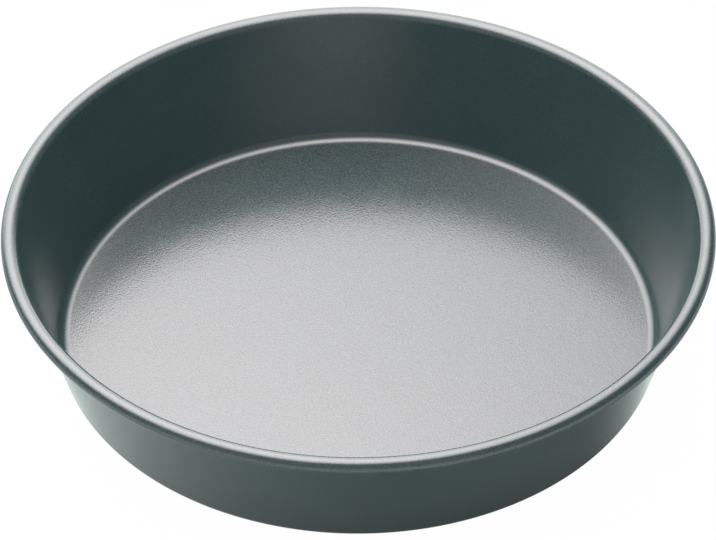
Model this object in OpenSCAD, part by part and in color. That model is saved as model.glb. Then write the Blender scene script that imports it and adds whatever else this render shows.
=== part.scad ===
// Round cake pan: one drawn sheet-steel shell whose top edge is rolled outwards
// round a steel reinforcing wire. Millimetres, +Z up, the origin at the middle
// of the flat underside.

/* [Pan] */
// Height from the underside to the top of the rolled rim
pan_height = 48.5; // [30:0.5:80]
// Diameter over the outside of the rolled rim
rim_diameter = 240; // [220:1:300]
// Angle that the wall leans outwards, in degrees from upright
wall_lean = 14.9; // [5:0.1:25]
// Thickness of the steel sheet
sheet_thickness = 0.8; // [0.5:0.05:1.2]
// Inside radius of the corner between the floor and the wall
corner_radius = 3.6; // [2:0.1:8]

/* [Rolled rim] */
// Diameter of the reinforcing wire inside the roll
wire_diameter = 3; // [2.4:0.1:5]
// Slack all round between the wire and the sheet that is rolled over it
wire_clearance = 0.1; // [0.02:0.01:0.3]
// Gap between the two cut ends of the wire, where they butt together
wire_end_gap = 1.5; // [0.5:0.1:5]
// Gap between the roll and the outside of the wall that it turns back to
roll_gap = 0.15; // [0.05:0.01:0.4]

/* [Hidden] */

// The roll, seen in section, is the wire with the sheet laid round it.
wire_radius = wire_diameter / 2;
roll_bore_radius = wire_radius + wire_clearance;
roll_radius = roll_bore_radius + sheet_thickness;

// The shoulder is the bend from the wall's top up to the roll. The roll turns
// back under it, so it is wider, and its centre lies lower along the wall.
shoulder_bore_radius = roll_radius + roll_gap;
shoulder_radius = shoulder_bore_radius + sheet_thickness;
roll_rise = shoulder_radius - roll_radius;
shoulder_centre = [
    rim_diameter / 2 - roll_radius - roll_rise * sin(wall_lean),
    pan_height - shoulder_radius
];
roll_centre = shoulder_centre + roll_rise * [sin(wall_lean), cos(wall_lean)];

// The corner is two arcs about one centre, a sheet thickness apart. The wall's
// inside face is the line that crosses between the corner's inside arc and the
// outside of the shoulder, so the two bends lie on either side of it.
corner_outer_radius = corner_radius + sheet_thickness;
bends_apart = corner_radius + shoulder_radius;
bends_rise = shoulder_centre.y - corner_outer_radius;
wall_length = (bends_rise + bends_apart * sin(wall_lean)) / cos(wall_lean);
corner_centre = [
    shoulder_centre.x - bends_apart * cos(wall_lean) - wall_length * sin(wall_lean),
    corner_outer_radius
];

// Angle of the wire ring that the gap between its ends takes away.
wire_gap_angle = 2 * asin(wire_end_gap / 2 / roll_centre.x);

section_steps = 96;
ring_steps = 256;

// In the wall's own frame the origin is the corner's centre and the second
// axis runs up along the wall.
module in_wall_frame() {
    translate(corner_centre)
        rotate(-wall_lean)
            children();
}

module at_shoulder() {
    translate([bends_apart, wall_length])
        children();
}

module at_roll() {
    translate([0, roll_rise])
        children();
}

// A full turn of sheet in section, one sheet thickness outside its bore.
module bent_sheet(bore_radius) {
    difference() {
        circle(r = bore_radius + sheet_thickness, $fn = section_steps);
        circle(r = bore_radius, $fn = section_steps);
    }
}

module floor_section() {
    square([corner_centre.x, sheet_thickness]);
}

// The half turn of sheet below the wall's foot.
module corner_section() {
    reach = 2 * corner_outer_radius;
    intersection() {
        bent_sheet(corner_radius);
        translate([-reach, -reach])
            square([2 * reach, reach]);
    }
}

module wall_section() {
    translate([corner_radius, 0])
        square([sheet_thickness, wall_length]);
}

// The quarter turn of sheet from the wall's top to the roll.
module shoulder_section() {
    reach = 2 * shoulder_radius;
    intersection() {
        bent_sheet(shoulder_bore_radius);
        translate([-reach, 0])
            square(reach);
    }
}

// From the shoulder's end outwards and under, round to the cut edge, which
// comes level with the shoulder's centre.
module roll_section() {
    reach = 2 * roll_radius;
    difference() {
        bent_sheet(roll_bore_radius);
        translate([-reach, -roll_rise])
            square([reach, roll_rise + reach]);
    }
}

// Corner, wall, shoulder and roll in one. The corner's half turn is cut off
// where the flat floor ends.
module side_section() {
    reach = 2 * corner_outer_radius;
    difference() {
        in_wall_frame() {
            corner_section();
            wall_section();
            at_shoulder() {
                shoulder_section();
                at_roll() roll_section();
            }
        }
        translate(corner_centre)
            translate([-reach, -reach])
                square([reach, 2 * reach]);
    }
}

// The drawn shell: floor, corner, flared wall and rolled edge in one sheet.
module pan_body() {
    color([0.27, 0.3, 0.3])
        rotate_extrude($fn = ring_steps) {
            floor_section();
            side_section();
        }
}

// The wire inside the roll, an open ring whose ends butt together.
module rim_wire() {
    color([0.72, 0.73, 0.74])
        rotate([0, 0, wire_gap_angle / 2])
            rotate_extrude(angle = 360 - wire_gap_angle, $fn = ring_steps)
                in_wall_frame()
                    at_shoulder()
                        at_roll()
                            circle(r = wire_radius, $fn = section_steps);
}

pan_body();
rim_wire();
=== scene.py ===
"""Round cake pan: the coated steel shell, the wire in its rolled rim and the studio."""

import math

import bpy
from mathutils import Matrix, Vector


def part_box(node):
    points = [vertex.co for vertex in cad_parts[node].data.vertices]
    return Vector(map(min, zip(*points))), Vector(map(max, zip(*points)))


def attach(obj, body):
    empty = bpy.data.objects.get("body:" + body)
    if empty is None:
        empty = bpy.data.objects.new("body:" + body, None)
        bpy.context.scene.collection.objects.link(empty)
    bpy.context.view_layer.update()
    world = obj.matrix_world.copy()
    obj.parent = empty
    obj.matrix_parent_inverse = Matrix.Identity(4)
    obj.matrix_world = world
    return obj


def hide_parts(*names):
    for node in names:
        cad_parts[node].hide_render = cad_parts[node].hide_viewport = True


bl_info = {
    "name": "Round cake pan",
    "version": (1, 0, 0),
    "blender": (4, 5, 0),
    "location": "3D View > Sidebar > Cake Pan",
    "description": "Builds the coated shell, finishes the rim wire and sets the studio",
    "category": "Object",
}

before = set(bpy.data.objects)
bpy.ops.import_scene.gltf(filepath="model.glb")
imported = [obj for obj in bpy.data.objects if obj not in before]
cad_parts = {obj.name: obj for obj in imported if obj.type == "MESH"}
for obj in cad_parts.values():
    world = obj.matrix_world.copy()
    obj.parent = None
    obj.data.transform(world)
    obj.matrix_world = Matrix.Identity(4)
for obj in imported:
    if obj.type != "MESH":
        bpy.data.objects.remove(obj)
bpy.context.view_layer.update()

MM = 0.001
SHELL_NODE = "pan_body"
WIRE_NODE = "rim_wire"
BODY = "root"
WHITE = (1.0, 1.0, 1.0, 1.0)
PALE = (0.85, 0.85, 0.85, 1.0)

# Steps in each bend of the section, and the angle from which an edge is sharp.
CORNER_STEPS = 20
SHOULDER_STEPS = 20
ROLL_STEPS = 56
SHARP_ANGLE = math.radians(40)

# Share of the sheet's thickness by which a bend runs on straight at its ends.
BEND_LEAD = 0.25
WELD_REACH = 0.001 * MM

# Places along the section: each stretch of it has more of them than it has points.
STRETCH_PLACES = 1000.0

# Turn of the grain's pattern, and what sets its layers apart.
GRAIN_TURN = (0.6, 0.45, 0.8)
SPECKLE_SHIFT = 0.5
PATCH_SHIFT = 1.0
FINE_DETAIL = 1.0
BROAD_DETAIL = 2.0

WIRE_GRAIN_PER_METRE = 900.0
WIRE_UNEVENNESS = 0.06

FLOOR_HALF_WIDTH = 4.0
GLOW_CURVE = 2.0

# How far a direction points away to the back where the backdrop starts and is full.
BACKDROP_START = 0.75
BACKDROP_FULL = 0.98

SENSOR_WIDTH = 36.0
NEAREST_SEEN = 0.05

shell_low, shell_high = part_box(SHELL_NODE)
wire_low, wire_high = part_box(WIRE_NODE)

# The packed shell is a many-sided ring, so the least of its four reaches is
# the round rim that stays inside it.
RIM_RADIUS = min(-shell_low.x, -shell_low.y, shell_high.x, shell_high.y)
PAN_HEIGHT = shell_high.z - shell_low.z
WIRE_DIAMETER = wire_high.z - wire_low.z


class PanSizes(bpy.types.PropertyGroup):
    """Sizes of the drawn shell and its rolled rim."""

    rim_diameter: bpy.props.FloatProperty(
        name="Rim Diameter",
        description="Diameter over the outside of the rolled rim",
        default=2 * RIM_RADIUS,
        unit="LENGTH",
    )
    pan_height: bpy.props.FloatProperty(
        name="Pan Height",
        description="Height from the underside to the top of the rolled rim",
        default=PAN_HEIGHT,
        unit="LENGTH",
    )
    wall_lean: bpy.props.FloatProperty(
        name="Wall Lean",
        description="Angle that the wall leans outwards from upright",
        subtype="ANGLE",
        default=math.radians(14.9),
    )
    sheet_thickness: bpy.props.FloatProperty(
        name="Sheet Thickness",
        description="Thickness of the steel sheet",
        default=0.8 * MM,
        unit="LENGTH",
    )
    corner_radius: bpy.props.FloatProperty(
        name="Corner Radius",
        description="Inside radius of the corner between the floor and the wall",
        default=3.6 * MM,
        unit="LENGTH",
    )
    wire_clearance: bpy.props.FloatProperty(
        name="Wire Clearance",
        description="Slack all round between the wire and the sheet rolled over it",
        default=0.1 * MM,
        unit="LENGTH",
    )
    roll_gap: bpy.props.FloatProperty(
        name="Roll Gap",
        description="Gap between the roll and the outside of the wall that it turns back to",
        default=0.15 * MM,
        unit="LENGTH",
    )
    ring_steps: bpy.props.IntProperty(
        name="Ring Steps",
        description="Steps round the pan",
        default=384,
        min=64,
    )


class CoatingLook(bpy.types.PropertyGroup):
    """Finish of the non-stick coating."""

    body_colour: bpy.props.FloatVectorProperty(
        name="Body Colour",
        description="Colour of the coating between its flakes",
        subtype="COLOR",
        size=3,
        default=(0.036, 0.065, 0.067),
    )
    flake_tint: bpy.props.FloatVectorProperty(
        name="Flake Tint",
        description="Tint of the light that the coating mirrors",
        subtype="COLOR",
        size=3,
        default=(1.0, 0.925, 0.94),
    )
    refraction: bpy.props.FloatProperty(
        name="Refraction",
        description="Refractive index of the coating, high for its mica flakes",
        default=2.0,
        min=1.0,
    )
    roughness: bpy.props.FloatProperty(
        name="Roughness",
        description="Roughness of the cured coating",
        subtype="FACTOR",
        default=0.185,
        min=0.0,
        max=1.0,
    )
    grain_size: bpy.props.FloatProperty(
        name="Grain Size",
        description="Width of one bump of the sprayed grain",
        default=0.6 * MM,
        unit="LENGTH",
    )
    grain_depth: bpy.props.FloatProperty(
        name="Grain Depth",
        description="Height of the sprayed grain",
        default=0.05 * MM,
        precision=6,
        unit="LENGTH",
    )
    patch_size: bpy.props.FloatProperty(
        name="Patch Size",
        description="Width of one broad, faint patch in the coating",
        default=18 * MM,
        unit="LENGTH",
    )
    patches: bpy.props.FloatProperty(
        name="Patches",
        description="How much the broad patches change the colour and the roughness",
        default=0.25,
        min=0.0,
    )
    wall_grain: bpy.props.FloatProperty(
        name="Wall Grain",
        description="Share of the floor's grain that is left on the drawn wall",
        subtype="FACTOR",
        default=0.3,
        min=0.0,
        max=1.0,
    )
    rim_grain: bpy.props.FloatProperty(
        name="Rim Grain",
        description="Share of the floor's grain that is left on the rolled rim",
        subtype="FACTOR",
        default=0.55,
        min=0.0,
        max=1.0,
    )
    outside_grain: bpy.props.FloatProperty(
        name="Outside Grain",
        description="Share of the floor's grain that is left on the outside of the wall",
        subtype="FACTOR",
        default=0.1,
        min=0.0,
        max=1.0,
    )
    outside_gloss: bpy.props.FloatProperty(
        name="Outside Gloss",
        description="What the smoother outside of the wall takes off the roughness",
        default=0.07,
        min=0.0,
    )
    speckle: bpy.props.FloatProperty(
        name="Speckle",
        description="How much the mica speckle lightens and darkens the coating",
        default=0.11,
        min=0.0,
    )
    least_colour: bpy.props.FloatProperty(
        name="Least Colour",
        description="Brightness that the darkest grain keeps",
        default=0.005,
        min=0.0,
    )
    # Painted shade: the coating's colour is made darker on the floor than on the wall, standing in
    # for the floor getting less light.
    floor_painted_shade: bpy.props.FloatProperty(
        name="Floor Painted Shade",
        description="Brightness of the coating's colour on the floor beside the wall's",
        subtype="FACTOR",
        default=0.82,
        min=0.0,
        max=1.0,
    )
    rim_roughness: bpy.props.FloatProperty(
        name="Rim Roughness",
        description="What the tight roll of the rim adds to the roughness",
        default=0.02,
        min=0.0,
    )
    corner_roughness: bpy.props.FloatProperty(
        name="Corner Roughness",
        description="What the thicker coat in the corner adds to the roughness",
        default=0.09,
        min=0.0,
    )


class WireLook(bpy.types.PropertyGroup):
    """Finish of the drawn steel wire."""

    steel_colour: bpy.props.FloatVectorProperty(
        name="Steel Colour",
        description="Colour of the plain drawn wire",
        subtype="COLOR",
        size=3,
        default=(0.56, 0.57, 0.58),
    )
    roughness: bpy.props.FloatProperty(
        name="Roughness",
        description="Roughness of the drawn wire",
        subtype="FACTOR",
        default=0.34,
        min=0.0,
        max=1.0,
    )


class StudioSizes(bpy.types.PropertyGroup):
    """Camera, lamps and floor."""

    camera_place: bpy.props.FloatVectorProperty(
        name="Camera Place",
        description="Where the camera stands",
        subtype="TRANSLATION",
        unit="LENGTH",
        size=3,
        default=(-0.00014, -0.940094, 0.838827),
    )
    camera_dip: bpy.props.FloatProperty(
        name="Camera Dip",
        description="How far the camera looks down from level",
        subtype="ANGLE",
        default=math.radians(40.868),
    )
    camera_roll: bpy.props.FloatProperty(
        name="Camera Roll",
        description="Turn of the camera about its own line of sight",
        subtype="ANGLE",
        default=math.radians(-0.24),
    )
    camera_lens: bpy.props.FloatProperty(
        name="Camera Lens",
        description="Focal length of the lens",
        subtype="DISTANCE_CAMERA",
        default=183.776,
    )
    bank_distance: bpy.props.FloatProperty(
        name="Bank Distance",
        description="Distance from the pan to the plane of the light bank",
        default=0.8,
        unit="LENGTH",
    )
    bank_bearing: bpy.props.FloatProperty(
        name="Bank Bearing",
        description="Bearing of the light bank, clockwise from straight behind the pan",
        subtype="ANGLE",
        default=math.radians(-4.7),
    )
    bank_height: bpy.props.FloatProperty(
        name="Bank Height",
        description="Angle of the light bank above level",
        subtype="ANGLE",
        default=math.radians(58.9),
    )
    bank_roll: bpy.props.FloatProperty(
        name="Bank Roll",
        description="Turn of the light bank in its own plane",
        subtype="ANGLE",
        default=math.radians(13.9),
    )
    bank_across: bpy.props.FloatVectorProperty(
        name="Bank Across",
        description="Middle of the soft left and right edges of the light bank",
        unit="LENGTH",
        size=2,
        default=(-0.74, 0.32),
    )
    bank_along: bpy.props.FloatVectorProperty(
        name="Bank Along",
        description="Middle of the soft near and far edges of the light bank",
        unit="LENGTH",
        size=2,
        default=(-0.68, 0.46),
    )
    bank_fade_across: bpy.props.FloatVectorProperty(
        name="Bank Fade Across",
        description="Half width of the soft left and right edges",
        unit="LENGTH",
        size=2,
        default=(0.65, 0.375),
    )
    bank_fade_along: bpy.props.FloatVectorProperty(
        name="Bank Fade Along",
        description="Half width of the soft near and far edges",
        unit="LENGTH",
        size=2,
        default=(0.575, 0.4),
    )
    bank_light: bpy.props.FloatProperty(
        name="Bank Light",
        description="Brightness of the middle of the light bank, where 1 is white",
        default=5.45,
        min=0.0,
    )
    room_light: bpy.props.FloatProperty(
        name="Room Light",
        description="Brightness of the dim room round the pan, where 1 is white",
        default=0.09,
        min=0.0,
    )
    left_light: bpy.props.FloatProperty(
        name="Left Light",
        description="What the pale wall on the left adds to the room's light",
        default=0.1,
        min=0.0,
    )
    front_light: bpy.props.FloatProperty(
        name="Front Light",
        description="What the pale wall behind the camera adds to the room's light",
        default=0.7,
        min=0.0,
    )
    front_mirror: bpy.props.FloatProperty(
        name="Front Mirror",
        description="Share of the front light that shows as a mirror image in the coating",
        subtype="FACTOR",
        default=0.3,
        min=0.0,
        max=1.0,
    )
    window_light: bpy.props.FloatProperty(
        name="Window Light",
        description="Brightness of the low panel behind the pan, where 1 is white",
        default=2.5,
        min=0.0,
    )
    window_distance: bpy.props.FloatProperty(
        name="Window Distance",
        description="Distance from the pan to the low panel behind it",
        default=0.85,
        unit="LENGTH",
    )
    window_across: bpy.props.FloatVectorProperty(
        name="Window Across",
        description="Middle of the soft left and right edges of the low panel",
        unit="LENGTH",
        size=2,
        default=(-0.95, 0.42),
    )
    window_along: bpy.props.FloatVectorProperty(
        name="Window Along",
        description="Middle of the soft top and bottom edges, measured down from the floor",
        unit="LENGTH",
        size=2,
        default=(-0.5, 0.3),
    )
    window_fade_across: bpy.props.FloatVectorProperty(
        name="Window Fade Across",
        description="Half width of the soft left and right edges of the low panel",
        unit="LENGTH",
        size=2,
        default=(0.3, 0.25),
    )
    window_fade_along: bpy.props.FloatVectorProperty(
        name="Window Fade Along",
        description="Half width of the soft top and bottom edges of the low panel",
        unit="LENGTH",
        size=2,
        default=(0.2, 0.1),
    )
    floor_white: bpy.props.FloatProperty(
        name="Floor White",
        description="Share of plain white in the floor as the camera sees it",
        subtype="FACTOR",
        default=0.99,
        min=0.0,
        max=1.0,
    )
    # The floor as the coating mirrors it is a painted reflection: its tint, its painted shadow
    # near the pan and its painted pools of light at the sides are set below.
    floor_cast: bpy.props.FloatVectorProperty(
        name="Floor Cast",
        description="Colour of the floor as the coating mirrors it",
        subtype="COLOR",
        size=3,
        default=(0.88, 1.0, 0.96),
    )
    floor_dim: bpy.props.FloatProperty(
        name="Floor Dim",
        description="Brightness of the floor in the pan's shade as the coating mirrors it",
        subtype="FACTOR",
        default=0.19,
        min=0.0,
        max=1.0,
    )
    floor_far: bpy.props.FloatProperty(
        name="Floor Far",
        description="Brightness of the floor clear of the pan as the coating mirrors it",
        subtype="FACTOR",
        default=0.75,
        min=0.0,
        max=1.0,
    )
    floor_far_reach: bpy.props.FloatVectorProperty(
        name="Floor Far Reach",
        description="Distances from the axis between which the pan's shade on the floor ends",
        unit="LENGTH",
        size=2,
        default=(0.135, 0.16),
    )
    # The two stretches are painted pools of light in the mirrored floor, not lit by a lamp.
    floor_glow: bpy.props.FloatProperty(
        name="Floor Glow",
        description="Brightness of the two lit stretches of floor as the coating mirrors them",
        subtype="FACTOR",
        default=1.0,
        min=0.0,
        max=1.0,
    )
    floor_glow_bearing: bpy.props.FloatProperty(
        name="Floor Glow Bearing",
        description="Way in which the glow on the left grows, turned from left towards the back",
        subtype="ANGLE",
        default=math.radians(36.9),
    )
    floor_glow_reach: bpy.props.FloatVectorProperty(
        name="Floor Glow Reach",
        description="Where the glow on the left starts and where it is full",
        unit="LENGTH",
        size=2,
        default=(-0.1, 0.052),
    )
    floor_glow_end: bpy.props.FloatVectorProperty(
        name="Floor Glow End",
        description="Where the glow on the left starts to fade and where it is gone",
        unit="LENGTH",
        size=2,
        default=(0.085, 0.12),
    )
    side_glow_bearing: bpy.props.FloatProperty(
        name="Side Glow Bearing",
        description="Way in which the glow on the right grows, turned from right towards the back",
        subtype="ANGLE",
        default=math.radians(73.0),
    )
    side_glow_reach: bpy.props.FloatVectorProperty(
        name="Side Glow Reach",
        description="Where the glow on the right starts and where it is full",
        unit="LENGTH",
        size=2,
        default=(-0.05, 0.0),
    )
    side_glow_end: bpy.props.FloatVectorProperty(
        name="Side Glow End",
        description="Where the glow on the right starts to fade and where it is gone",
        unit="LENGTH",
        size=2,
        default=(0.0, 0.03),
    )


class NodeDesk:
    """Places nodes in one tree and links them, with numbers or sockets as inputs."""

    def __init__(self, tree):
        self.tree = tree

    def node(self, kind, inputs=None, **settings):
        made = self.tree.nodes.new(kind)
        for name, value in settings.items():
            setattr(made, name, value)
        for name, value in (inputs or {}).items():
            self.feed(made.inputs[name], value)
        return made

    def feed(self, socket, value):
        if isinstance(value, bpy.types.NodeSocket):
            self.tree.links.new(value, socket)
        else:
            socket.default_value = value

    def sum(self, operation, *values):
        made = self.tree.nodes.new("ShaderNodeMath")
        made.operation = operation
        for socket, value in zip(made.inputs, values):
            self.feed(socket, value)
        return made.outputs[0]


def group_input(tree, name, kind, **settings):
    """Adds a named input to a tree."""
    socket = tree.interface.new_socket(name=name, in_out="INPUT", socket_type=kind)
    for key, value in settings.items():
        setattr(socket, key, value)
    return socket


def bend_points_tree():
    """A bend in section: points along an arc, with a straight lead at each end."""
    tree = bpy.data.node_groups.new("Bend points", "GeometryNodeTree")
    for name in ("Centre Out", "Centre Up", "Radius", "From", "To", "Lead In", "Lead Out"):
        group_input(tree, name, "NodeSocketFloat")
    group_input(tree, "Steps", "NodeSocketInt", default_value=8, min_value=1)
    group_input(tree, "Place", "NodeSocketFloat")
    tree.interface.new_socket(
        name="Points", in_out="OUTPUT", socket_type="NodeSocketGeometry"
    )
    desk = NodeDesk(tree)
    given = desk.node("NodeGroupInput").outputs
    index = desk.node("GeometryNodeInputIndex").outputs["Index"]
    step = desk.sum("SUBTRACT", index, 1.0)
    share = desk.node(
        "ShaderNodeClamp", {"Value": desk.sum("DIVIDE", step, given["Steps"])}
    ).outputs["Result"]
    sweep = desk.sum("SUBTRACT", given["To"], given["From"])
    angle = desk.sum("MULTIPLY_ADD", sweep, share, given["From"])
    cosine = desk.sum("COSINE", angle)
    sine = desk.sum("SINE", angle)
    before = desk.sum("MULTIPLY", desk.sum("MINIMUM", step, 0.0), given["Lead In"])
    past = desk.sum("MAXIMUM", desk.sum("SUBTRACT", step, given["Steps"]), 0.0)
    after = desk.sum("MULTIPLY", past, given["Lead Out"])
    lead = desk.sum("MULTIPLY", desk.sum("ADD", before, after), desk.sum("SIGN", sweep))
    out = desk.sum("MULTIPLY_ADD", given["Radius"], cosine, given["Centre Out"])
    out = desk.sum("SUBTRACT", out, desk.sum("MULTIPLY", lead, sine))
    up = desk.sum("MULTIPLY_ADD", given["Radius"], sine, given["Centre Up"])
    up = desk.sum("ADD", up, desk.sum("MULTIPLY", lead, cosine))
    place = desk.node("ShaderNodeCombineXYZ", {"X": out, "Y": desk.sum("MULTIPLY", up, -1.0)})
    points = desk.node(
        "GeometryNodePoints",
        {"Count": desk.sum("ADD", given["Steps"], 3.0), "Position": place.outputs["Vector"]},
    )
    ordered = desk.node(
        "GeometryNodeStoreNamedAttribute",
        {
            "Geometry": points.outputs["Points"],
            "Name": "place",
            "Value": desk.sum("ADD", given["Place"], index),
        },
        data_type="FLOAT",
        domain="POINT",
    )
    result = desk.node("NodeGroupOutput")
    desk.feed(result.inputs["Points"], ordered.outputs["Geometry"])
    return tree


def turned_sheet_tree():
    """The whole shell, turned about +Z from the line of its section."""
    tree = bpy.data.node_groups.new("Turned sheet", "GeometryNodeTree")
    lengths = (
        "Rim Diameter",
        "Pan Height",
        "Sheet Thickness",
        "Corner Radius",
        "Roll Bore Radius",
        "Roll Gap",
        "Bend Lead",
    )
    for name in lengths:
        group_input(tree, name, "NodeSocketFloat", subtype="DISTANCE")
    group_input(tree, "Wall Lean", "NodeSocketFloat", subtype="ANGLE")
    group_input(tree, "Ring Steps", "NodeSocketInt")
    group_input(tree, "Corner Steps", "NodeSocketInt")
    group_input(tree, "Shoulder Steps", "NodeSocketInt")
    group_input(tree, "Roll Steps", "NodeSocketInt")
    group_input(tree, "Material", "NodeSocketMaterial")
    tree.interface.new_socket(
        name="Geometry", in_out="OUTPUT", socket_type="NodeSocketGeometry"
    )
    desk = NodeDesk(tree)
    given = desk.node("NodeGroupInput").outputs
    quarter = math.pi / 2
    sheet = given["Sheet Thickness"]
    inner_corner = given["Corner Radius"]
    outer_corner = desk.sum("ADD", inner_corner, sheet)
    bore = given["Roll Bore Radius"]
    roll = desk.sum("ADD", bore, sheet)
    shoulder_bore = desk.sum("ADD", roll, given["Roll Gap"])
    shoulder = desk.sum("ADD", shoulder_bore, sheet)
    lean = given["Wall Lean"]
    sine = desk.sum("SINE", lean)
    cosine = desk.sum("COSINE", lean)

    # The roll's centre lies further up along the wall than the shoulder's.
    roll_rise = desk.sum("SUBTRACT", shoulder, roll)
    roll_out = desk.sum("SUBTRACT", desk.sum("DIVIDE", given["Rim Diameter"], 2.0), roll)
    shoulder_out = desk.sum("SUBTRACT", roll_out, desk.sum("MULTIPLY", roll_rise, sine))
    shoulder_up = desk.sum("SUBTRACT", given["Pan Height"], shoulder)
    roll_up = desk.sum("MULTIPLY_ADD", roll_rise, cosine, shoulder_up)

    # The wall crosses over from the corner's inside arc to the shoulder's outside.
    bends_apart = desk.sum("ADD", inner_corner, shoulder)
    bends_rise = desk.sum("SUBTRACT", shoulder_up, outer_corner)
    wall = desk.sum("DIVIDE", desk.sum("MULTIPLY_ADD", bends_apart, sine, bends_rise), cosine)
    across = desk.sum("MULTIPLY_ADD", wall, sine, desk.sum("MULTIPLY", bends_apart, cosine))
    corner_out = desk.sum("SUBTRACT", shoulder_out, across)

    # The roll takes over at the crown, and its cut edge ends level with the
    # shoulder's centre, seen square to the wall.
    wall_foot = desk.sum("MULTIPLY", lean, -1.0)
    wall_top = desk.sum("SUBTRACT", math.pi, lean)
    crown = desk.sum("SUBTRACT", quarter, lean)

    def cut_edge(radius):
        turn = desk.sum("ARCSINE", desk.sum("DIVIDE", roll_rise, radius))
        return desk.sum("SUBTRACT", turn, desk.sum("ADD", lean, math.pi))

    # Every point of the section is measured from the rim's path.
    path_radius = desk.sum("DIVIDE", given["Rim Diameter"], 2.0)
    bend_tree = bend_points_tree()

    def bend(centre_out, centre_up, radius, start, end, steps, lead_in, lead_out, place):
        made = desk.node(
            "GeometryNodeGroup",
            node_tree=bend_tree,
        )
        values = {
            "Centre Out": desk.sum("SUBTRACT", centre_out, path_radius),
            "Centre Up": centre_up,
            "Radius": radius,
            "From": start,
            "To": end,
            "Steps": steps,
            "Lead In": lead_in,
            "Lead Out": lead_out,
            "Place": place,
        }
        for name, value in values.items():
            desk.feed(made.inputs[name], value)
        return made.outputs["Points"]

    def axis_point(height, place):
        spot = desk.node(
            "ShaderNodeCombineXYZ",
            {
                "X": desk.sum("MULTIPLY", path_radius, -1.0),
                "Y": desk.sum("MULTIPLY", height, -1.0),
            },
        )
        point = desk.node(
            "GeometryNodePoints", {"Count": 1, "Position": spot.outputs["Vector"]}
        )
        return desk.node(
            "GeometryNodeStoreNamedAttribute",
            {"Geometry": point.outputs["Points"], "Name": "place", "Value": place},
            data_type="FLOAT",
            domain="POINT",
        ).outputs["Geometry"]

    lead = given["Bend Lead"]
    corner_steps = given["Corner Steps"]
    shoulder_steps = given["Shoulder Steps"]
    roll_steps = given["Roll Steps"]
    block = STRETCH_PLACES
    stretches = [
        axis_point(sheet, 0.0),
        bend(
            corner_out, outer_corner, inner_corner, -quarter, wall_foot,
            corner_steps, lead, lead, block,
        ),
        bend(
            shoulder_out, shoulder_up, shoulder, wall_top, crown,
            shoulder_steps, lead, 0.0, 2 * block,
        ),
        bend(
            roll_out, roll_up, roll, crown, cut_edge(roll),
            roll_steps, 0.0, 0.0, 3 * block,
        ),
        bend(
            roll_out, roll_up, bore, cut_edge(bore), crown,
            roll_steps, 0.0, 0.0, 4 * block,
        ),
        bend(
            shoulder_out, shoulder_up, shoulder_bore, crown, wall_top,
            shoulder_steps, 0.0, lead, 5 * block,
        ),
        bend(
            corner_out, outer_corner, outer_corner, wall_foot, -quarter,
            corner_steps, lead, lead, 6 * block,
        ),
        axis_point(0.0, 7 * block),
    ]
    joined = desk.node("GeometryNodeJoinGeometry")
    for stretch in stretches:
        tree.links.new(stretch, joined.inputs["Geometry"])
    order = desk.node("GeometryNodeInputNamedAttribute", {"Name": "place"}, data_type="FLOAT")
    section = desk.node(
        "GeometryNodePointsToCurves",
        {"Points": joined.outputs["Geometry"], "Weight": order.outputs["Attribute"]},
    )
    path = desk.node(
        "GeometryNodeCurvePrimitiveCircle",
        {"Resolution": given["Ring Steps"], "Radius": path_radius},
    )
    turned = desk.node(
        "GeometryNodeCurveToMesh",
        {"Curve": path.outputs["Curve"], "Profile Curve": section.outputs["Curves"]},
    )
    welded = desk.node(
        "GeometryNodeMergeByDistance",
        {"Geometry": turned.outputs["Mesh"], "Distance": WELD_REACH},
    )
    smooth = desk.node("GeometryNodeSetShadeSmooth", {"Geometry": welded.outputs["Geometry"]})
    real = desk.node("GeometryNodeRealizeInstances", {"Geometry": smooth.outputs["Geometry"]})
    dressed = desk.node(
        "GeometryNodeSetMaterial",
        {"Geometry": real.outputs["Geometry"], "Material": given["Material"]},
    )
    result = desk.node("NodeGroupOutput")
    desk.feed(result.inputs["Geometry"], dressed.outputs["Geometry"])
    return tree


def grown_mesh(name, tree, values):
    """Runs a geometry tree once with the named values and keeps the plain mesh."""
    holder = bpy.data.objects.new(name + " tree", bpy.data.meshes.new(name + " seed"))
    bpy.context.scene.collection.objects.link(holder)
    modifier = holder.modifiers.new(name, "NODES")
    modifier.node_group = tree
    for socket in tree.interface.items_tree:
        if socket.item_type == "SOCKET" and socket.in_out == "INPUT":
            modifier[socket.identifier] = values[socket.name]
    shown = holder.evaluated_get(bpy.context.evaluated_depsgraph_get())
    mesh = bpy.data.meshes.new_from_object(shown)
    mesh.name = name
    seed = holder.data
    bpy.data.objects.remove(holder)
    bpy.data.meshes.remove(seed)
    piece = bpy.data.objects.new(name, mesh)
    bpy.context.scene.collection.objects.link(piece)
    return piece


def section_marks(sizes):
    """Radii at which the flat floor ends and at which the rim's bend starts."""
    roll = WIRE_DIAMETER / 2 + sizes.wire_clearance + sizes.sheet_thickness
    shoulder = roll + sizes.roll_gap + sizes.sheet_thickness
    sine = math.sin(sizes.wall_lean)
    cosine = math.cos(sizes.wall_lean)
    shoulder_out = sizes.rim_diameter / 2 - roll - (shoulder - roll) * sine
    bends_apart = sizes.corner_radius + shoulder
    bends_rise = sizes.pan_height - shoulder - sizes.corner_radius - sizes.sheet_thickness
    wall = (bends_rise + bends_apart * sine) / cosine
    floor_edge = shoulder_out - bends_apart * cosine - wall * sine
    rim_edge = shoulder_out - shoulder * cosine
    return floor_edge, rim_edge


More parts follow.
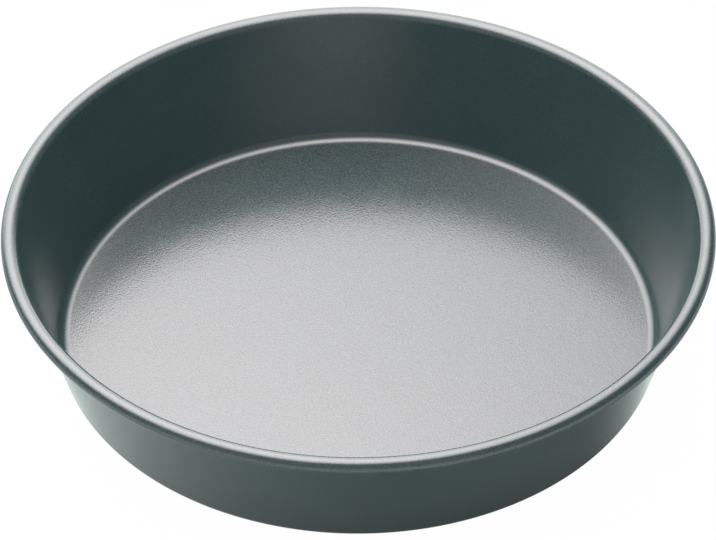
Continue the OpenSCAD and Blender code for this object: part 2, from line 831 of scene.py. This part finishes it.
def zone_group():
    """Shares of the floor, the corner, the rim and the outside of the wall."""
    tree = bpy.data.node_groups.new("Sheet zones", "ShaderNodeTree")
    measures = (
        "Floor Edge",
        "Corner Width",
        "Corner Rise",
        "Sheet Middle",
        "Wall Lean",
        "Rim Edge",
        "Blend",
    )
    for name in measures:
        group_input(tree, name, "NodeSocketFloat")
    for name in ("Floor", "Corner", "Rim", "Outside"):
        tree.interface.new_socket(name=name, in_out="OUTPUT", socket_type="NodeSocketFloat")
    desk = NodeDesk(tree)
    given = desk.node("NodeGroupInput").outputs
    place = desk.node("ShaderNodeTexCoord").outputs["Object"]
    spot = desk.node("ShaderNodeSeparateXYZ", {"Vector": place}).outputs
    squares = desk.sum("MULTIPLY_ADD", spot["X"], spot["X"], desk.sum("POWER", spot["Y"], 2.0))
    radius = desk.sum("SQRT", squares)

    def past(edge, reading=radius):
        step = desk.node(
            "ShaderNodeMapRange",
            {
                "Value": reading,
                "From Min": desk.sum("SUBTRACT", edge, given["Blend"]),
                "From Max": desk.sum("ADD", edge, given["Blend"]),
            },
            interpolation_type="SMOOTHSTEP",
        )
        return step.outputs["Result"]

    off_floor = past(given["Floor Edge"])
    off_corner = past(desk.sum("ADD", given["Floor Edge"], given["Corner Width"]))

    # Seen square to the wall, the sheet's middle parts its inside from its outside.
    out = desk.sum("SUBTRACT", radius, given["Floor Edge"])
    up = desk.sum("SUBTRACT", spot["Z"], given["Corner Rise"])
    through = desk.sum("MULTIPLY", out, desk.sum("COSINE", given["Wall Lean"]))
    fall = desk.sum("MULTIPLY", up, desk.sum("SINE", given["Wall Lean"]))
    through = desk.sum("SUBTRACT", through, fall)
    rim = past(given["Rim Edge"])
    outside = desk.sum("MULTIPLY", past(given["Sheet Middle"], through), off_corner)
    outside = desk.sum("MULTIPLY", outside, desk.sum("SUBTRACT", 1.0, rim))
    result = desk.node("NodeGroupOutput")
    desk.feed(result.inputs["Floor"], desk.sum("SUBTRACT", 1.0, off_floor))
    desk.feed(result.inputs["Corner"], desk.sum("SUBTRACT", off_floor, off_corner))
    desk.feed(result.inputs["Rim"], rim)
    desk.feed(result.inputs["Outside"], outside)
    return tree


def grain_group():
    """Sprayed grain: fine bumps, mica speckle and a broad, faint unevenness."""
    tree = bpy.data.node_groups.new("Sprayed grain", "ShaderNodeTree")
    for name in ("Grain Size", "Patch Size"):
        group_input(tree, name, "NodeSocketFloat")
    for name in ("Height", "Speckle", "Patches"):
        tree.interface.new_socket(name=name, in_out="OUTPUT", socket_type="NodeSocketFloat")
    desk = NodeDesk(tree)
    given = desk.node("NodeGroupInput").outputs
    place = desk.node("ShaderNodeTexCoord").outputs["Object"]

    # A noise pattern shows its grid where a face lies along it, so it is turned.
    turned = desk.node(
        "ShaderNodeVectorRotate",
        {"Vector": place, "Rotation": GRAIN_TURN},
        rotation_type="EULER_XYZ",
    ).outputs["Vector"]
    fine = desk.sum("DIVIDE", 1.0, given["Grain Size"])
    broad = desk.sum("DIVIDE", 1.0, given["Patch Size"])

    def noise(scale, detail, shift):
        moved = desk.node(
            "ShaderNodeVectorMath", {0: turned, 1: (shift, shift, shift)}, operation="ADD"
        )
        made = desk.node(
            "ShaderNodeTexNoise",
            {"Vector": moved.outputs["Vector"], "Scale": scale, "Detail": detail},
        )
        return desk.sum("SUBTRACT", made.outputs["Fac"], 0.5)

    result = desk.node("NodeGroupOutput")
    desk.feed(result.inputs["Height"], noise(fine, FINE_DETAIL, 0.0))
    desk.feed(result.inputs["Speckle"], noise(fine, FINE_DETAIL, SPECKLE_SHIFT))
    desk.feed(result.inputs["Patches"], noise(broad, BROAD_DETAIL, PATCH_SHIFT))
    return tree


def coating_material(look, sizes):
    """Dark non-stick coating, with mica flakes that mirror light at any angle."""
    material = bpy.data.materials.new("Non-stick coating")
    material.use_nodes = True
    tree = material.node_tree
    tree.nodes.clear()
    desk = NodeDesk(tree)
    floor_edge, rim_edge = section_marks(sizes)
    zones = desk.node("ShaderNodeGroup", node_tree=zone_group())
    values = {
        "Floor Edge": floor_edge,
        "Corner Width": sizes.corner_radius,
        "Corner Rise": sizes.corner_radius + sizes.sheet_thickness,
        "Sheet Middle": sizes.corner_radius + sizes.sheet_thickness / 2,
        "Wall Lean": sizes.wall_lean,
        "Rim Edge": rim_edge,
        "Blend": sizes.sheet_thickness / 2,
    }
    for name, value in values.items():
        zones.inputs[name].default_value = value
    grain = desk.node("ShaderNodeGroup", node_tree=grain_group())
    grain.inputs["Grain Size"].default_value = look.grain_size
    grain.inputs["Patch Size"].default_value = look.patch_size
    floor, corner, rim, outside = (
        zones.outputs[name] for name in ("Floor", "Corner", "Rim", "Outside")
    )

    # The floor carries the full grain, the rim and the drawn wall only a share.
    grainy = desk.sum("MULTIPLY_ADD", rim, look.rim_grain, floor)
    smoother = look.outside_grain - look.wall_grain
    grainy = desk.sum(
        "MAXIMUM", grainy, desk.sum("MULTIPLY_ADD", outside, smoother, look.wall_grain)
    )
    height = desk.sum("MULTIPLY", grain.outputs["Height"], grainy)
    bump = desk.node(
        "ShaderNodeBump", {"Height": height, "Distance": look.grain_depth, "Strength": 1.0}
    )
    # Painted shade on the floor: its colour is darkened by the floor's share, not by a change in
    # the coating.
    shade = desk.sum("MULTIPLY_ADD", floor, look.floor_painted_shade - 1.0, 1.0)
    speckle = desk.sum("MULTIPLY", grain.outputs["Speckle"], look.speckle)
    speckle = desk.sum("MULTIPLY", speckle, grainy)
    uneven = desk.sum("MULTIPLY_ADD", grain.outputs["Patches"], look.patches, 1.0)
    shade = desk.sum("MULTIPLY", shade, uneven)
    body = desk.node(
        "ShaderNodeVectorMath", {0: tuple(look.body_colour), "Scale": shade}, operation="SCALE"
    )
    flakes = desk.node("ShaderNodeCombineXYZ", {"X": speckle, "Y": speckle, "Z": speckle})
    colour = desk.node(
        "ShaderNodeVectorMath",
        {0: body.outputs["Vector"], 1: flakes.outputs["Vector"]},
        operation="ADD",
    )
    colour = desk.node(
        "ShaderNodeVectorMath",
        {0: colour.outputs["Vector"], 1: (look.least_colour,) * 3},
        operation="MAXIMUM",
    )
    rough = desk.sum("MULTIPLY_ADD", rim, look.rim_roughness, look.roughness)
    rough = desk.sum("MULTIPLY_ADD", corner, look.corner_roughness, rough)
    rough = desk.sum("MULTIPLY_ADD", outside, -look.outside_gloss, rough)
    rough = desk.sum("MULTIPLY", rough, uneven)
    surface = desk.node(
        "ShaderNodeBsdfPrincipled",
        {
            "Base Color": colour.outputs["Vector"],
            "Roughness": rough,
            "Metallic": 0.0,
            "IOR": look.refraction,
            "Specular Tint": (*look.flake_tint, 1.0),
            "Normal": bump.outputs["Normal"],
        },
    )
    result = desk.node("ShaderNodeOutputMaterial")
    desk.feed(result.inputs["Surface"], surface.outputs["BSDF"])
    return material


def wire_material(look):
    """Plain drawn steel wire."""
    material = bpy.data.materials.new("Drawn steel wire")
    material.use_nodes = True
    tree = material.node_tree
    tree.nodes.clear()
    desk = NodeDesk(tree)
    place = desk.node("ShaderNodeTexCoord").outputs["Object"]
    noise = desk.node(
        "ShaderNodeTexNoise", {"Vector": place, "Scale": WIRE_GRAIN_PER_METRE}
    )
    rough = desk.node(
        "ShaderNodeMapRange",
        {
            "Value": noise.outputs["Fac"],
            "To Min": look.roughness - WIRE_UNEVENNESS,
            "To Max": look.roughness + WIRE_UNEVENNESS,
        },
    )
    surface = desk.node(
        "ShaderNodeBsdfPrincipled",
        {
            "Base Color": (*look.steel_colour, 1.0),
            "Metallic": 1.0,
            "Roughness": rough.outputs["Result"],
        },
    )
    result = desk.node("ShaderNodeOutputMaterial")
    desk.feed(result.inputs["Surface"], surface.outputs["BSDF"])
    return material


class PAN_OT_form_shell(bpy.types.Operator):
    """Form the drawn shell with its rolled rim and coat it"""

    bl_idname = "cake_pan.form_shell"
    bl_label = "Form the Shell"

    def execute(self, context):
        sizes = context.scene.pan_sizes
        wire_radius = WIRE_DIAMETER / 2
        values = {
            "Rim Diameter": sizes.rim_diameter,
            "Pan Height": sizes.pan_height,
            "Wall Lean": sizes.wall_lean,
            "Sheet Thickness": sizes.sheet_thickness,
            "Corner Radius": sizes.corner_radius,
            "Roll Bore Radius": wire_radius + sizes.wire_clearance,
            "Roll Gap": sizes.roll_gap,
            "Bend Lead": sizes.sheet_thickness * BEND_LEAD,
            "Ring Steps": sizes.ring_steps,
            "Corner Steps": CORNER_STEPS,
            "Shoulder Steps": SHOULDER_STEPS,
            "Roll Steps": ROLL_STEPS,
            "Material": coating_material(context.scene.coating_look, sizes),
        }
        shell = grown_mesh("coated_shell", turned_sheet_tree(), values)
        shell.data.set_sharp_from_angle(angle=SHARP_ANGLE)
        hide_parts(SHELL_NODE)
        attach(shell, BODY)
        return {"FINISHED"}


class PAN_OT_finish_wire(bpy.types.Operator):
    """Give the wire inside the rim its drawn steel finish"""

    bl_idname = "cake_pan.finish_wire"
    bl_label = "Finish the Wire"

    def execute(self, context):
        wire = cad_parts[WIRE_NODE]
        wire.material_slots[0].material = wire_material(context.scene.wire_look)
        return {"FINISHED"}


def stage_floor(studio):
    """Wide pale floor, almost white to the camera, with a trace of the pan's shadow. The coating
    mirrors it as a painted glow, with a painted shadow of the pan close to it and two painted
    pools of light at the sides.
    """
    half = FLOOR_HALF_WIDTH
    mesh = bpy.data.meshes.new("stage_floor")
    corners = [(-half, -half, 0.0), (half, -half, 0.0), (half, half, 0.0), (-half, half, 0.0)]
    mesh.from_pydata(corners, [], [(0, 1, 2, 3)])
    floor = bpy.data.objects.new("stage_floor", mesh)
    bpy.context.scene.collection.objects.link(floor)
    material = bpy.data.materials.new("Studio floor")
    material.use_nodes = True
    tree = material.node_tree
    tree.nodes.clear()
    desk = NodeDesk(tree)
    ray = desk.node("ShaderNodeLightPath").outputs
    paint = desk.node("ShaderNodeBsdfDiffuse", {"Color": PALE})
    place = desk.node("ShaderNodeTexCoord").outputs["Object"]
    spot = desk.node("ShaderNodeSeparateXYZ", {"Vector": place}).outputs

    # The coating mirrors the floor as a painted glow set by place: a painted shadow of the pan
    # close to it, darker there and brighter further out.
    squares = desk.sum("MULTIPLY_ADD", spot["X"], spot["X"], desk.sum("POWER", spot["Y"], 2.0))
    glow = desk.node(
        "ShaderNodeMapRange",
        {
            "Value": desk.sum("SQRT", squares),
            "From Min": studio.floor_far_reach[0],
            "From Max": studio.floor_far_reach[1],
            "To Min": studio.floor_dim,
            "To Max": studio.floor_far,
        },
        interpolation_type="SMOOTHSTEP",
    ).outputs["Result"]
    # Two painted pools of light, one on each side, brighten the mirrored floor.
    ways = (
        (-1.0, studio.floor_glow_bearing, studio.floor_glow_reach, studio.floor_glow_end),
        (1.0, studio.side_glow_bearing, studio.side_glow_reach, studio.side_glow_end),
    )
    for side, bearing, reach, end in ways:
        along = desk.sum("MULTIPLY", spot["X"], side * math.cos(bearing))
        along = desk.sum("MULTIPLY_ADD", spot["Y"], math.sin(bearing), along)
        share = desk.node(
            "ShaderNodeMapRange",
            {"Value": along, "From Min": reach[0], "From Max": reach[1]},
        ).outputs["Result"]
        fade = desk.node(
            "ShaderNodeMapRange",
            {"Value": along, "From Min": end[1], "From Max": end[0]},
        ).outputs["Result"]
        share = desk.sum("MULTIPLY", desk.sum("POWER", share, GLOW_CURVE), fade)
        rise = desk.sum(
            "MULTIPLY_ADD", share, studio.floor_glow - studio.floor_dim, studio.floor_dim
        )
        glow = desk.sum("MAXIMUM", glow, rise)
    lift = desk.sum("MULTIPLY", ray["Is Camera Ray"], studio.floor_white)
    lift = desk.sum("MULTIPLY_ADD", ray["Is Transmission Ray"], studio.floor_white, lift)
    lift = desk.sum("MAXIMUM", lift, ray["Is Glossy Ray"])
    # For glossy rays the emission is dimmed into the painted shadow and pools of light, and tinted
    # with the floor's cast.
    fall = desk.sum("MULTIPLY", ray["Is Glossy Ray"], desk.sum("SUBTRACT", 1.0, glow))
    cast = desk.node(
        "ShaderNodeVectorMath",
        {
            0: ray["Is Glossy Ray"],
            1: tuple(share - 1.0 for share in studio.floor_cast),
            2: WHITE[:3],
        },
        operation="MULTIPLY_ADD",
    ).outputs["Vector"]
    white = desk.node(
        "ShaderNodeEmission", {"Color": cast, "Strength": desk.sum("SUBTRACT", 1.0, fall)}
    )
    blend = desk.node("ShaderNodeMixShader", {"Fac": lift})
    desk.feed(blend.inputs[1], paint.outputs["BSDF"])
    desk.feed(blend.inputs[2], white.outputs["Emission"])
    result = desk.node("ShaderNodeOutputMaterial")
    desk.feed(result.inputs["Surface"], blend.outputs["Shader"])
    mesh.materials.append(material)


def cloth_material(name, card):
    """Lit cloth: bright in the middle, fading out to clear towards each edge."""
    material = bpy.data.materials.new(name)
    material.use_nodes = True
    tree = material.node_tree
    tree.nodes.clear()
    desk = NodeDesk(tree)
    place = desk.node("ShaderNodeTexCoord").outputs["Object"]
    spot = desk.node("ShaderNodeSeparateXYZ", {"Vector": place}).outputs
    behind = desk.node("ShaderNodeNewGeometry").outputs["Backfacing"]
    share = desk.sum("SUBTRACT", 1.0, behind)
    ways = (
        (spot["X"], card["across"], card["fade_across"]),
        (spot["Y"], card["along"], card["fade_along"]),
    )
    for reading, edges, fades in ways:
        for edge, fade, side in ((edges[0], fades[0], -1.0), (edges[1], fades[1], 1.0)):
            step = desk.node(
                "ShaderNodeMapRange",
                {
                    "Value": reading,
                    "From Min": edge + side * fade,
                    "From Max": edge - side * fade,
                },
                interpolation_type="SMOOTHSTEP",
            )
            share = desk.sum("MULTIPLY", step.outputs["Result"], share)
    cloth = desk.node("ShaderNodeEmission", {"Color": WHITE, "Strength": card["light"]})
    clear = desk.node("ShaderNodeBsdfTransparent")
    blend = desk.node("ShaderNodeMixShader", {"Fac": share})
    desk.feed(blend.inputs[1], clear.outputs["BSDF"])
    desk.feed(blend.inputs[2], cloth.outputs["Emission"])
    result = desk.node("ShaderNodeOutputMaterial")
    desk.feed(result.inputs["Surface"], blend.outputs["Shader"])
    return material


def light_card(name, card):
    """One big flat light that faces the pan, hidden from the camera."""
    low = [card["across"][0] - card["fade_across"][0], card["along"][0] - card["fade_along"][0]]
    high = [card["across"][1] + card["fade_across"][1], card["along"][1] + card["fade_along"][1]]
    mesh = bpy.data.meshes.new(name)
    corners = [
        (low[0], low[1], 0.0),
        (low[0], high[1], 0.0),
        (high[0], high[1], 0.0),
        (high[0], low[1], 0.0),
    ]
    mesh.from_pydata(corners, [], [(0, 1, 2, 3)])
    mesh.materials.append(cloth_material(name + " cloth", card))
    panel = bpy.data.objects.new(name, mesh)
    bpy.context.scene.collection.objects.link(panel)
    turn = Matrix.Rotation(-card["bearing"], 4, "Z")
    lean = Matrix.Rotation(card["height"] - math.pi / 2, 4, "X")
    roll = Matrix.Rotation(card["roll"], 4, "Z")
    away = Matrix.Translation((0, 0, card["distance"]))
    panel.matrix_world = turn @ lean @ away @ roll
    panel.visible_camera = False


def hang_lights(studio):
    """The big bank that leans over the pan, and the low panel behind it."""
    bank = {
        "light": studio.bank_light,
        "distance": studio.bank_distance,
        "bearing": studio.bank_bearing,
        "height": studio.bank_height,
        "roll": studio.bank_roll,
        "across": studio.bank_across,
        "along": studio.bank_along,
        "fade_across": studio.bank_fade_across,
        "fade_along": studio.bank_fade_along,
    }
    window = {
        "light": studio.window_light,
        "distance": studio.window_distance,
        "bearing": 0.0,
        "height": 0.0,
        "roll": 0.0,
        "across": studio.window_across,
        "along": studio.window_along,
        "fade_across": studio.window_fade_across,
        "fade_along": studio.window_fade_along,
    }
    light_card("light_bank", bank)
    light_card("low_panel", window)


def studio_world(studio):
    """White backdrop behind the pan, and a dim room round it."""
    world = bpy.data.worlds.new("Studio")
    world.use_nodes = True
    tree = world.node_tree
    tree.nodes.clear()
    desk = NodeDesk(tree)
    ray = desk.node("ShaderNodeLightPath").outputs
    way = desk.node("ShaderNodeTexCoord").outputs["Generated"]
    part = desk.node("ShaderNodeSeparateXYZ", {"Vector": way}).outputs
    leftward = desk.sum("MAXIMUM", desk.sum("MULTIPLY", part["X"], -1.0), 0.0)
    room = desk.sum("MULTIPLY_ADD", leftward, studio.left_light, studio.room_light)
    frontward = desk.sum("MAXIMUM", desk.sum("MULTIPLY", part["Y"], -1.0), 0.0)
    front = desk.sum(
        "MULTIPLY_ADD",
        ray["Is Glossy Ray"],
        studio.front_light * (studio.front_mirror - 1.0),
        studio.front_light,
    )
    room = desk.sum("MULTIPLY_ADD", frontward, front, room)
    behind = desk.node(
        "ShaderNodeMapRange",
        {"Value": part["Y"], "From Min": BACKDROP_START, "From Max": BACKDROP_FULL},
        interpolation_type="SMOOTHSTEP",
    ).outputs["Result"]
    seen = desk.sum("ADD", ray["Is Glossy Ray"], ray["Is Transmission Ray"])
    seen = desk.sum("MULTIPLY_ADD", seen, behind, ray["Is Camera Ray"])
    level = desk.node(
        "ShaderNodeMapRange", {"Value": seen, "To Min": room, "To Max": 1.0}
    ).outputs["Result"]
    back = desk.node("ShaderNodeBackground", {"Color": WHITE, "Strength": level})
    result = desk.node("ShaderNodeOutputWorld")
    desk.feed(result.inputs["Surface"], back.outputs["Background"])
    bpy.context.scene.world = world


def place_camera(studio):
    lens = bpy.data.cameras.new("Camera")
    lens.lens = studio.camera_lens
    lens.sensor_width = SENSOR_WIDTH
    lens.sensor_fit = "HORIZONTAL"
    lens.clip_start = NEAREST_SEEN
    camera = bpy.data.objects.new("Camera", lens)
    tilt = Matrix.Rotation(math.pi / 2 - studio.camera_dip, 4, "X")
    roll = Matrix.Rotation(studio.camera_roll, 4, "Z")
    camera.matrix_world = Matrix.Translation(studio.camera_place) @ tilt @ roll
    bpy.context.scene.collection.objects.link(camera)
    bpy.context.scene.camera = camera


class PAN_OT_set_stage(bpy.types.Operator):
    """Set the floor, the lamps, the backdrop and the camera"""

    bl_idname = "cake_pan.set_stage"
    bl_label = "Set the Stage"

    def execute(self, context):
        studio = context.scene.studio_sizes
        place_camera(studio)
        stage_floor(studio)
        hang_lights(studio)
        studio_world(studio)
        context.scene.view_settings.view_transform = "Standard"
        return {"FINISHED"}


class PAN_PT_sidebar(bpy.types.Panel):
    """Sizes and steps of the cake pan"""

    bl_label = "Cake Pan"
    bl_idname = "PAN_PT_sidebar"
    bl_space_type = "VIEW_3D"
    bl_region_type = "UI"
    bl_category = "Cake Pan"

    def draw(self, context):
        layout = self.layout
        for group in GROUPS:
            box = layout.box()
            box.label(text=group.__doc__)
            settings = getattr(context.scene, GROUPS[group])
            for name in group.__annotations__:
                box.prop(settings, name)
        for step in STEPS:
            layout.operator(step.bl_idname)


GROUPS = {
    PanSizes: "pan_sizes",
    CoatingLook: "coating_look",
    WireLook: "wire_look",
    StudioSizes: "studio_sizes",
}
STEPS = (PAN_OT_form_shell, PAN_OT_finish_wire, PAN_OT_set_stage)


def register():
    for group, name in GROUPS.items():
        bpy.utils.register_class(group)
        setattr(bpy.types.Scene, name, bpy.props.PointerProperty(type=group))
    for step in STEPS:
        bpy.utils.register_class(step)
    bpy.utils.register_class(PAN_PT_sidebar)


def unregister():
    bpy.utils.unregister_class(PAN_PT_sidebar)
    for step in reversed(STEPS):
        bpy.utils.unregister_class(step)
    for group, name in GROUPS.items():
        delattr(bpy.types.Scene, name)
        bpy.utils.unregister_class(group)


def main():
    register()
    bpy.ops.cake_pan.form_shell()
    bpy.ops.cake_pan.finish_wire()
    bpy.ops.cake_pan.set_stage()


if __name__ == "__main__":
    main()
